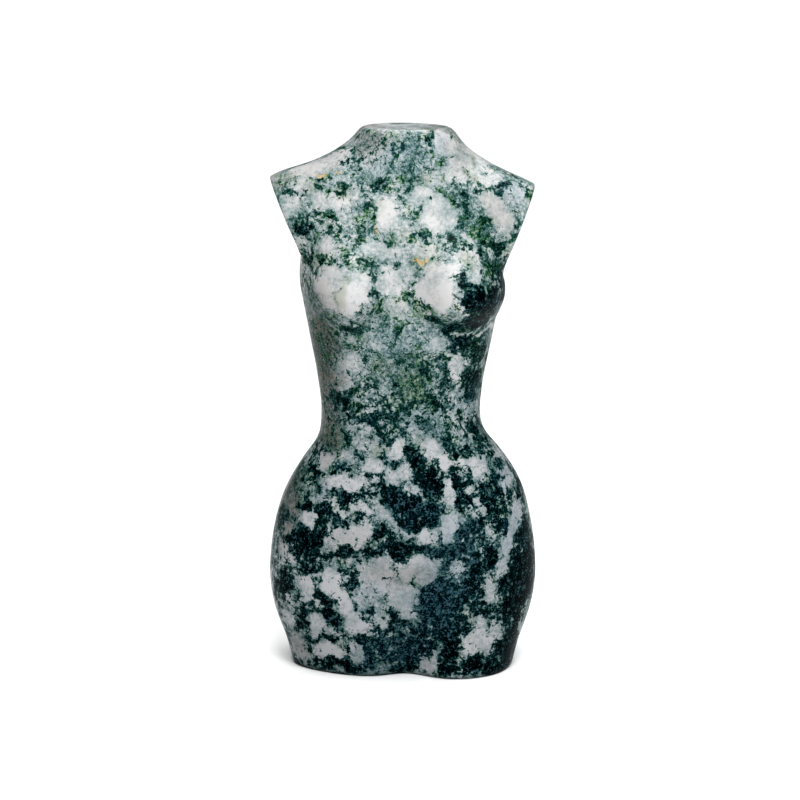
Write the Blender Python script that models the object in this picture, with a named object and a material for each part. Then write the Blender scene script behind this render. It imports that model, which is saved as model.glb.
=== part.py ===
"""A small carved stone torso of a woman, cut flat at the neck, the arms and the hips.

The figure is one solid. It faces -Y and stands on its flat underside at z = 0. Every length of the
figure is a share of HEIGHT, as a carver scales a pattern, and only the softened edges left by the
polishing wheel are real sizes of their own.
"""
import math

import bmesh
import bpy
import numpy as np
from mathutils import Vector

HEIGHT = 0.080  # from the flat underside to the neck cut, in metres

# Radii of the softened edges, in metres.
BASE_EDGE = 0.0009
NECK_EDGE = 0.0010
ARM_EDGE = 0.0004
EDGE_STEPS = 4

# The mesh: rings up the figure and columns round it, both closer where the carving is finer.
RINGS = 48
COLUMNS = 80
FRONT_CROWDING = 0.22
SNAP = 0.0004  # vertices this close to a saw cut are drawn onto it, so that it leaves no slivers

# The stone.
STONE_COLOUR = (0.30, 0.37, 0.36, 1.0)
STONE_ROUGHNESS = 0.28
STONE_METALLIC = 0.0

# Half widths from the front: (height, distance from the axis). Left and right are the viewer's.
OUTLINE_LEFT = (
    (0.000, 0.207), (0.035, 0.214), (0.058, 0.220), (0.085, 0.231), (0.125, 0.240), (0.175, 0.245),
    (0.230, 0.242), (0.308, 0.227), (0.362, 0.203), (0.400, 0.177), (0.424, 0.159), (0.446, 0.152),
    (0.481, 0.150), (0.536, 0.156), (0.605, 0.168), (0.675, 0.181), (0.725, 0.189), (0.769, 0.187),
    (0.800, 0.198), (0.845, 0.216), (0.885, 0.235), (0.902, 0.245), (0.912, 0.239), (0.920, 0.220),
    (0.929, 0.186), (0.942, 0.152), (0.957, 0.123), (0.974, 0.098), (0.990, 0.083), (1.000, 0.079),
)
OUTLINE_RIGHT = (
    (0.000, 0.206), (0.035, 0.214), (0.058, 0.221), (0.085, 0.230), (0.125, 0.239), (0.175, 0.245),
    (0.230, 0.243), (0.308, 0.231), (0.362, 0.211), (0.400, 0.185), (0.424, 0.165), (0.446, 0.148),
    (0.476, 0.142), (0.536, 0.148), (0.605, 0.162), (0.675, 0.175), (0.709, 0.182), (0.736, 0.180),
    (0.770, 0.192), (0.820, 0.211), (0.865, 0.230), (0.890, 0.244), (0.902, 0.226), (0.917, 0.192),
    (0.930, 0.166), (0.944, 0.143), (0.960, 0.121), (0.976, 0.106), (0.990, 0.096), (1.000, 0.091),
)

# Depths from the side: (height, distance from the axis) of the belly and chest, and of the back.
FRONT_LINE = (
    (0.00, 0.133), (0.06, 0.135), (0.14, 0.138), (0.26, 0.140), (0.34, 0.132), (0.42, 0.113),
    (0.50, 0.103), (0.58, 0.108), (0.68, 0.115), (0.78, 0.112), (0.85, 0.102), (0.91, 0.089),
    (0.95, 0.081), (1.00, 0.076),
)
BACK_LINE = (
    (0.00, 0.122), (0.05, 0.129), (0.12, 0.136), (0.24, 0.130), (0.34, 0.106), (0.44, 0.084),
    (0.52, 0.087), (0.62, 0.103), (0.74, 0.120), (0.83, 0.118), (0.89, 0.104), (0.95, 0.089),
    (1.00, 0.080),
)
# How square each cross-section is: 2 is an ellipse.
SQUARENESS = ((0.00, 2.4), (0.20, 2.25), (0.45, 2.2), (0.70, 2.4), (0.85, 2.2), (1.00, 2.0))

# The viewer's right thigh stands forward of the left one, for each unit to the right.
THIGH_SKEW = 1.20
THIGH_SKEW_TOP = 0.16

# Flat arm cuts: the height of each armpit, the height and half width of each cut's upper edge,
# and how far the cut leans in for each unit of height below that.
ARMPIT = {"left": 0.769, "right": 0.736}
ARM_CUT_TOP = 0.888
ARM_CUT_HALF_WIDTH = {"left": 0.2335, "right": 0.2385}
ARM_CUT_LEAN = {"left": 0.420, "right": 0.385}

NECK_TILT = 0.012  # the neck cut drops this much for each unit to the viewer's right
NECK_TILT_START = 0.94

# Breasts as (centre across and up, radii across, up and down, how far they stand out).
BREASTS = (
    ((-0.104, 0.706), (0.078, 0.125, 0.066), 0.052),
    ((0.110, 0.702), (0.092, 0.125, 0.064), 0.058),
)
BREAST_FADE = 0.045
BREAST_EDGE = 1.3  # how softly the fold under a breast runs out: 1 is a sharp crease
BREAST_SLOPE = 0.5  # how much more softly the upper half runs out

# Rounded masses as (centre, radii across, deep and down, radius up). The arms are cut off flat.
ARM_BLEND = 0.034
ARMS = (
    ((-0.205, 0.004, 0.842), (0.090, 0.068, 0.058), 0.058),
    ((0.205, 0.004, 0.822), (0.090, 0.068, 0.070), 0.068),
)
BUTTOCK_BLEND = 0.060
BUTTOCKS = (
    ((-0.112, 0.044, 0.160), (0.110, 0.118, 0.118), 0.165),
    ((0.112, 0.044, 0.160), (0.110, 0.118, 0.118), 0.165),
)
SHOULDER_BLADE_BLEND = 0.050
SHOULDER_BLADES = (
    ((-0.092, 0.070, 0.780), (0.056, 0.050, 0.075), 0.080),
    ((0.092, 0.070, 0.780), (0.056, 0.050, 0.075), 0.080),
)

# Grooves as (start, end, half width, depth) in the front view (x, z). Width and depth run from
# the first to the second value along the groove.
FRONT_GROOVES = (
    ((0.008, 0.160), (0.010, -0.020), (0.018, 0.058), (0.004, 0.040)),
    ((-0.150, 0.262), (-0.030, 0.150), (0.026, 0.022), (0.002, 0.008)),
    ((0.150, 0.262), (0.038, 0.150), (0.026, 0.022), (0.002, 0.008)),
)
BACK_GROOVES = (
    ((0.000, 0.330), (0.000, 0.160), (0.018, 0.024), (0.004, 0.040)),
    ((0.000, 0.160), (0.000, -0.020), (0.024, 0.026), (0.040, 0.040)),
    ((0.000, 0.880), (0.000, 0.640), (0.030, 0.026), (0.002, 0.012)),
    ((0.000, 0.640), (0.000, 0.400), (0.026, 0.026), (0.012, 0.010)),
)

# The rays that find the surface.
NEAREST = 0.02
FARTHEST = 0.45
HALVINGS = 24


def clear_scene():
    """Removes what the opened file holds."""
    for thing in list(bpy.data.objects):
        bpy.data.objects.remove(thing, do_unlink=True)


def along(height, points):
    """A smooth curve through the points that never swings past them."""
    z, value = np.array(points).T
    slope = np.diff(value) / np.diff(z)
    tangent = np.concatenate(([slope[0]], slope[1:], [slope[-1]]))
    inner = slope[:-1] * slope[1:] > 0
    tangent[1:-1] = np.where(inner, 2 * slope[:-1] * slope[1:] / (slope[:-1] + slope[1:] + 1e-12), 0.0)
    height = np.clip(height, z[0], z[-1])
    span = np.clip(np.searchsorted(z, height) - 1, 0, len(z) - 2)
    step = z[span + 1] - z[span]
    t = (height - z[span]) / step
    return (
        value[span] * (1 + 2 * t) * (1 - t) ** 2
        + tangent[span] * step * t * (1 - t) ** 2
        + value[span + 1] * t ** 2 * (3 - 2 * t)
        + tangent[span + 1] * step * t ** 2 * (t - 1)
    )


def trunk(x, y, z):
    """The plain body: how far a point is outside the cross-section at its height."""
    half = np.where(x < 0, along(z, OUTLINE_LEFT), along(z, OUTLINE_RIGHT))
    forward = 1 + THIGH_SKEW * x * np.clip(1 - z / THIGH_SKEW_TOP, 0, 1) ** 2
    deep = np.where(y < 0, along(z, FRONT_LINE) * forward, along(z, BACK_LINE))
    power = along(z, SQUARENESS)
    reach = ((np.abs(x) / half) ** power + (np.abs(y) / deep) ** power) ** (1 / power)
    return np.hypot(x, y) * (1 - 1 / np.maximum(reach, 1e-6))


def mass(x, y, z, centre, radii, up):
    """About how far a point is outside an egg: an ellipsoid with its own radius above its centre."""
    across, deep, down = radii
    sizes = (across, deep, np.where(z > centre[2], up, down))
    offset = (x - centre[0], y - centre[1], z - centre[2])
    near = np.sqrt(sum((o / r) ** 2 for o, r in zip(offset, sizes)))
    steep = np.sqrt(sum((o / r ** 2) ** 2 for o, r in zip(offset, sizes)))
    return near * (near - 1) / np.maximum(steep, 1e-9)


def blended(first, second, width):
    """Both forms together, with a fillet of the given width where they meet."""
    mix = np.clip(0.5 + 0.5 * (first - second) / width, 0, 1)
    return first * (1 - mix) + second * mix - width * mix * (1 - mix)


def breast(x, y, z, centre, radii, height):
    """How far a breast stands out: full below, with a long slope above."""
    across, up, down = radii
    rise = np.where(z > centre[1], up, down)
    reach = ((x - centre[0]) / across) ** 2 + ((z - centre[1]) / rise) ** 2
    forward = np.clip(-y / BREAST_FADE, 0, 1)
    power = BREAST_EDGE + BREAST_SLOPE * np.clip((z - centre[1]) / up, 0, 1)
    return height * np.clip(1 - reach, 0, 1) ** power * forward ** 2 * (3 - 2 * forward)


def groove(x, z, start, end, widths, depths):
    """How deep a groove is at a point of the front view."""
    run = np.array(end) - np.array(start)
    t = np.clip(((x - start[0]) * run[0] + (z - start[1]) * run[1]) / (run @ run), 0, 1)
    away = np.hypot(x - start[0] - t * run[0], z - start[1] - t * run[1])
    width = widths[0] + (widths[1] - widths[0]) * t
    depth = depths[0] + (depths[1] - depths[0]) * t
    return depth * np.exp(-((away / width) ** 2))


def edge_inset(z):
    """How far the rounded rims of the underside and the neck draw in at a height."""
    low = np.clip(1 - z * HEIGHT / BASE_EDGE, 0, 1)
    high = np.clip(1 - (1 - z) * HEIGHT / NECK_EDGE, 0, 1)
    drawn = BASE_EDGE * (1 - np.sqrt(1 - low ** 2)) + NECK_EDGE * (1 - np.sqrt(1 - high ** 2))
    return drawn / HEIGHT


def figure(x, y, z):
    """The whole carving: negative inside the stone, positive outside."""
    form = trunk(x, y, z)
    masses = (
        (ARMS, ARM_BLEND),
        (BUTTOCKS, BUTTOCK_BLEND),
        (SHOULDER_BLADES, SHOULDER_BLADE_BLEND),
    )
    for pair, width in masses:
        for centre, radii, up in pair:
            form = blended(form, mass(x, y, z, centre, radii, up), width)
    form = form - sum(breast(x, y, z, *one) for one in BREASTS)
    front = np.max([groove(x, z, *line) for line in FRONT_GROOVES], axis=0)
    back = np.max([groove(x, z, *line) for line in BACK_GROOVES], axis=0)
    return form + np.where(y < 0, front, back) + edge_inset(z)


def surface_distance(bearing, z):
    """The distance from the axis to the surface on each ray, found by halving."""
    near = np.full_like(z, NEAREST)
    far = np.full_like(z, FARTHEST)
    for _ in range(HALVINGS):
        middle = (near + far) / 2
        outside = figure(middle * np.sin(bearing), -middle * np.cos(bearing), z) > 0
        far = np.where(outside, middle, far)
        near = np.where(outside, near, middle)
    return (near + far) / 2


def ring_heights():
    """Heights of the rings: round both rims, and closer together at the bust and the shoulders."""
    turn = np.linspace(0, math.pi / 2, EDGE_STEPS + 1)[:-1]
    low = BASE_EDGE / HEIGHT
    high = 1 - NECK_EDGE / HEIGHT
    fine = np.linspace(low, high, 2001)
    crowding = (
        1.0
        + 0.75 * np.exp(-(((fine - 0.70) / 0.08) ** 2))
        + 1.6 * np.exp(-(((fine - 0.95) / 0.05) ** 2))
        + 0.5 * np.exp(-(((fine - 0.43) / 0.03) ** 2))
    )
    share = np.concatenate(([0], np.cumsum((crowding[1:] + crowding[:-1]) / 2)))
    heights = np.interp(np.linspace(0, share[-1], RINGS), share, fine)
    for armpit in ARMPIT.values():
        heights[np.argmin(np.abs(heights - armpit))] = armpit
    base_rim = low * (1 - np.cos(turn))
    neck_rim = 1 - (1 - high) * (1 - np.cos(turn))
    return np.concatenate((base_rim, heights, neck_rim[::-1]))


def rolled_sheet():
    """A flat sheet of squares rolled round the axis, each vertex moved out to the surface."""
    heights = ring_heights()
    bm = bmesh.new()
    bmesh.ops.create_grid(bm, x_segments=COLUMNS, y_segments=len(heights) - 1, size=0.5)
    across = np.array([v.co.x + 0.5 for v in bm.verts])
    up = np.array([v.co.y + 0.5 for v in bm.verts])
    turn = 2 * math.pi * across
    bearing = turn - FRONT_CROWDING * np.sin(turn)
    z = np.interp(up, np.linspace(0, 1, len(heights)), heights)
    out = surface_distance(bearing, z)
    x = out * np.sin(bearing)
    y = -out * np.cos(bearing)
    lean = np.clip((z - NECK_TILT_START) / (1 - NECK_TILT_START), 0, 1)
    z = z - NECK_TILT * x * lean
    for vert, place in zip(bm.verts, np.stack((x, y, z), axis=1)):
        vert.co = Vector(place) * HEIGHT
    bmesh.ops.remove_doubles(bm, verts=bm.verts, dist=HEIGHT * 1e-5)
    return bm


def flat_ends(bm):
    """Closes the underside and the neck."""
    bmesh.ops.holes_fill(bm, edges=bm.edges, sides=0)


def cut_arm(bm, side):
    """Saws one arm off flat, and closes the cut."""
    sign = {"left": -1, "right": 1}[side]
    upright = Vector((ARM_CUT_LEAN[side] * sign, 0, 1)).normalized()
    outward = Vector((upright.z * sign, 0, -upright.x * sign))
    point = Vector((ARM_CUT_HALF_WIDTH[side] * sign, 0, ARM_CUT_TOP)) * HEIGHT
    floor = (ARMPIT[side] - 1e-4) * HEIGHT
    faces = [f for f in bm.faces if all(v.co.z > floor and v.co.x * sign > 0 for v in f.verts)]
    edges = {e for f in faces for e in f.edges}
    verts = {v for f in faces for v in f.verts}
    for vert in verts:
        beyond = (vert.co - point).dot(outward)
        on_floor = vert.co.z < floor + 2e-4 * HEIGHT
        if abs(beyond) < SNAP or (on_floor and beyond > 0):
            vert.co -= outward * beyond
    arm = faces + list(edges) + list(verts)
    bmesh.ops.bisect_plane(
        bm, geom=arm, dist=HEIGHT * 1e-5, plane_co=point, plane_no=outward, clear_outer=True
    )
    bmesh.ops.holes_fill(bm, edges=[e for e in bm.edges if e.is_boundary], sides=0)
    return outward


def soften(bm, direction, radius, segments):
    """Rounds the rim of the flat face that looks in the given direction."""
    flat = max(bm.faces, key=lambda f: (f.normal.dot(direction) > 0.98) * f.calc_area())
    rim = list(flat.edges)
    bmesh.ops.bevel(
        bm, geom=rim, offset=radius, segments=segments, profile=0.5, affect="EDGES",
        clamp_overlap=True, material=-1,
    )


def stone():
    """Polished pale green stone."""
    material = bpy.data.materials.new("moss_agate")
    material.use_nodes = True
    shader = material.node_tree.nodes["Principled BSDF"]
    shader.inputs["Base Color"].default_value = STONE_COLOUR
    shader.inputs["Roughness"].default_value = STONE_ROUGHNESS
    shader.inputs["Metallic"].default_value = STONE_METALLIC
    material.diffuse_color = STONE_COLOUR
    return material


def torso():
    """The carved figure, centred over the origin and standing on z = 0."""
    bm = rolled_sheet()
    flat_ends(bm)
    bmesh.ops.recalc_face_normals(bm, faces=bm.faces)
    cuts = [cut_arm(bm, side) for side in ("left", "right")]
    bmesh.ops.recalc_face_normals(bm, faces=bm.faces)
    for outward in cuts:
        soften(bm, outward, ARM_EDGE, 2)
    low = Vector([min(v.co[i] for v in bm.verts) for i in range(3)])
    high = Vector([max(v.co[i] for v in bm.verts) for i in range(3)])
    middle = Vector(((low.x + high.x) / 2, (low.y + high.y) / 2, low.z))
    bmesh.ops.translate(bm, verts=bm.verts, vec=-middle)
    for face in bm.faces:
        face.smooth = True
    mesh = bpy.data.meshes.new("torso")
    bm.to_mesh(mesh)
    bm.free()
    piece = bpy.data.objects.new("torso", mesh)
    mesh.materials.append(stone())
    bpy.context.scene.collection.objects.link(piece)
    return piece


clear_scene()
torso()
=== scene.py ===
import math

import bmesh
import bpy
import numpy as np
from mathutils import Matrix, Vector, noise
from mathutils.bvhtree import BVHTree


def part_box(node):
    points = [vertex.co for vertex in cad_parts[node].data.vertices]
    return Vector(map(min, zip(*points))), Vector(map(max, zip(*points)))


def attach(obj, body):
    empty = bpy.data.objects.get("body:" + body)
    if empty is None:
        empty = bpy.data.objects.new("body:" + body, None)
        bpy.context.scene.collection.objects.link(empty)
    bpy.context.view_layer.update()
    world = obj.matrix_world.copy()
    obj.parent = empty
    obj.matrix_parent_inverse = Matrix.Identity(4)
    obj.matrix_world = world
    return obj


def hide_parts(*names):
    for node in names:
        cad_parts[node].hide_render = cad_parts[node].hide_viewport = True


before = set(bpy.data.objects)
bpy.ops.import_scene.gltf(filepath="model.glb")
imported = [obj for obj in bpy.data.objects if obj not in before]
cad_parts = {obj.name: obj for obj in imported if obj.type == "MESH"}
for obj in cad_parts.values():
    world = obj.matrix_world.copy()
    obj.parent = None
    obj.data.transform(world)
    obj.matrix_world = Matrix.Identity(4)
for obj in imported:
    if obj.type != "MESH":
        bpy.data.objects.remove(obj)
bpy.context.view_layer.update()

# %% [markdown]
# # A small torso carved from moss agate
#
# The real thing is a polished stone figure, 80 mm tall, that fits in a palm. Somebody sawed a block
# of moss agate, ground it into a neck, chest, waist and hips, sawed the arms and the neck off flat,
# and tumbled it until it shone. So there are two jobs here: a smooth body with its few crisp edges,
# and a stone that looks grown, with dark green moss frozen in white and grey-blue chalcedony.
#
# The frame already holds the solid at its real size. We measure it first and keep the numbers.

low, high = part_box("torso")
HEIGHT = high[2] - low[2]
print("solid, mm:", [round(1000 * (b - a), 2) for a, b in zip(low, high)])

# %% [markdown]
# ## The camera
#
# The photograph was taken from slightly above, with a long lens, so the neck cut shows as a thin
# ellipse and the underside curves down in front. A long lens keeps the sides almost parallel. We
# look down a little under 12 degrees from 40 cm away, aimed just beside the middle of the figure.

# %% Put the camera where the photographer stood
CAMERA_PITCH = math.radians(11.57)
CAMERA_DISTANCE = 0.400
CAMERA_AIM = Vector((-0.0004, 0.0, 0.0396))
LENS = 122.2

camera_data = bpy.data.cameras.new("camera")
camera_data.lens = LENS
camera_data.sensor_width = 36.0
camera_data.clip_start = 0.01
camera = bpy.data.objects.new("camera", camera_data)
bpy.context.scene.collection.objects.link(camera)
back_off = Vector((0.0, -math.cos(CAMERA_PITCH), math.sin(CAMERA_PITCH)))
camera.location = CAMERA_AIM + CAMERA_DISTANCE * back_off
camera.rotation_euler = (math.pi / 2 - CAMERA_PITCH, 0.0, 0.0)
bpy.context.scene.camera = camera
print("camera, m:", [round(c, 3) for c in camera.location])

# %% [markdown]
# ## The figure
#
# A carver leaves one skin of stone with no seams. The solid in the frame has that skin in about
# nine thousand loose triangles, which is fine for a simulator and too coarse for a shiny surface,
# where every facet would catch the light. We work on a copy: weld the loose corners, pair the
# triangles into squares, and turn each sawn face into one clean polygon. A sawn face is found by the
# way it faces and by the heights, in metres, that its triangles lie between.

# %% Weld a copy of the solid and clean its sawn faces
WELD = 1e-6
SAWN_FLATNESS = 0.998
SAWN_FACES = {
    "underside": (Vector((0.0, 0.0, -1.0)), 0.000, 0.004),
    "neck": (Vector((0.0, 0.0, 1.0)), 0.076, 0.090),
    "left arm": (Vector((-0.92, 0.0, -0.39)).normalized(), 0.056, 0.076),
    "right arm": (Vector((0.93, 0.0, -0.36)).normalized(), 0.056, 0.076),
}

bm = bmesh.new()
bm.from_mesh(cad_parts["torso"].data)
bmesh.ops.remove_doubles(bm, verts=bm.verts, dist=WELD)
for name, (outward, lowest, highest) in SAWN_FACES.items():
    flat = [
        f for f in bm.faces
        if f.normal.dot(outward) > SAWN_FLATNESS and lowest - WELD <= f.calc_center_median().z <= highest
    ]
    area = sum(f.calc_area() for f in flat)
    merged = bmesh.ops.dissolve_faces(bm, faces=flat)["region"]
    print(f"{name}: {len(flat)} triangles became {len(merged)}, {area * 1e6:.0f} square mm")
bmesh.ops.join_triangles(bm, faces=bm.faces, angle_face_threshold=0.8, angle_shape_threshold=1.2)
print("faces:", len(bm.faces), "open edges:", sum(e.is_boundary for e in bm.edges))

# %% [markdown]
# Each sawn face is now one polygon with many corners. A few insets give it rings of squares, which
# smooth evenly. Then two rounds of subdivision make the skin fine enough to carry the small forms.

# %% Ring the sawn faces and subdivide the skin
MANY_CORNERS = 8
RING_WIDTH = 0.0004
RING_COUNT = 2
SMOOTHING_LEVELS = 2

for face in [f for f in bm.faces if len(f.verts) > MANY_CORNERS]:
    for ring in range(RING_COUNT):
        bmesh.ops.inset_individual(bm, faces=[face], thickness=RING_WIDTH, use_even_offset=False)
coarse = bpy.data.meshes.new("torso_coarse")
bm.to_mesh(coarse)
bm.free()

figure = bpy.data.objects.new("torso_figure", coarse)
bpy.context.scene.collection.objects.link(figure)
smoother = figure.modifiers.new("smoother", "SUBSURF")
smoother.levels = smoother.render_levels = SMOOTHING_LEVELS
fine = bpy.data.meshes.new_from_object(figure.evaluated_get(bpy.context.evaluated_depsgraph_get()))
figure.modifiers.clear()
figure.data = fine
fine.name = "torso_figure"
fine.polygons.foreach_set("use_smooth", [True] * len(fine.polygons))
points = np.empty(3 * len(fine.vertices))
fine.vertices.foreach_get("co", points)
points = points.reshape(-1, 3)
print("skin:", len(points), "points,", sum(len(p.vertices) - 2 for p in fine.polygons), "triangles")

# %% [markdown]
# ## The hand of the carver
#
# A hand-held grinder never leaves a perfect curve. The skin gets a faint waviness, which you only
# see in the way light slides over it, and the few soft folds that the tool drew: under each breast,
# along the corner of the neck, over the pubis and in the groins. A fold is a line on the front, in
# millimetres: from across, up, to across, up, its half width and its depth. A wave is a size and a
# depth. Both fade to nothing at the foot, so that it stays flat, and every point moves inwards, so
# the figure can never grow out of its solid.

# %% Press the folds and the waviness
FOLDS = (
    (6.6, 79.5, 6.6, 75.7, 0.5, 0.1), (6.6, 75.7, 8.4, 73.2, 0.6, 0.05),
    (6.2, 52.8, 8.5, 50.6, 0.4, 0.1), (8.5, 50.6, 10.8, 50.6, 0.4, 0.16),
    (10.8, 50.6, 13.2, 52.2, 0.4, 0.14), (-13.1, 53.3, -11.6, 51.9, 0.6, 0.08),
    (-11.6, 51.9, -8.3, 52.1, 0.6, 0.1), (-8.3, 52.1, -5.8, 53.7, 0.6, 0.06),
    (-0.5, 15.6, 1.5, 15.9, 0.7, 0.12), (1.5, 15.9, 3.9, 16.7, 0.7, 0.1),
    (-15, 26, -8.4, 20.3, 1, 0.05), (-8.4, 20.3, -2.6, 13.6, 1, 0.07),
    (14.9, 26.1, 9.8, 19.7, 1, 0.06), (9.8, 19.7, 5.4, 13.3, 1, 0.08), (1.6, 12.1, 2.4, 2.6, 0.7, 0.1),
)
WAVES = ((7.0, 0.045), (2.6, 0.012))
FLAT_RIM = 1.2
FRONT_FADE = 1.6

normals = np.empty(3 * len(fine.vertices))
fine.vertices.foreach_get("normal", normals)
normals = normals.reshape(-1, 3)
across, _, up = 1000 * points.T
facing = np.clip(-FRONT_FADE * normals[:, 1], 0, 1)
sink = np.zeros(len(points))
for x0, z0, x1, z1, half, deep in FOLDS:
    run, rise = x1 - x0, z1 - z0
    along = ((across - x0) * run + (up - z0) * rise) / (run ** 2 + rise ** 2)
    along = np.clip(along, 0, 1)
    gap = np.hypot(across - x0 - along * run, up - z0 - along * rise)
    sink += deep * facing * np.exp(-((gap / half) ** 2))
for size, reach in WAVES:
    sink += reach * (1 + np.array([noise.noise(Vector(p) / size) for p in 1000 * points]))
sink *= np.clip(up / FLAT_RIM, 0, 1)
points = points - normals * sink[:, None] / 1000
fine.vertices.foreach_set("co", points.ravel())
fine.update()
print("pressed in, mm: mean", round(float(sink.mean()), 3), "most", round(float(sink.max()), 3))
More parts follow.
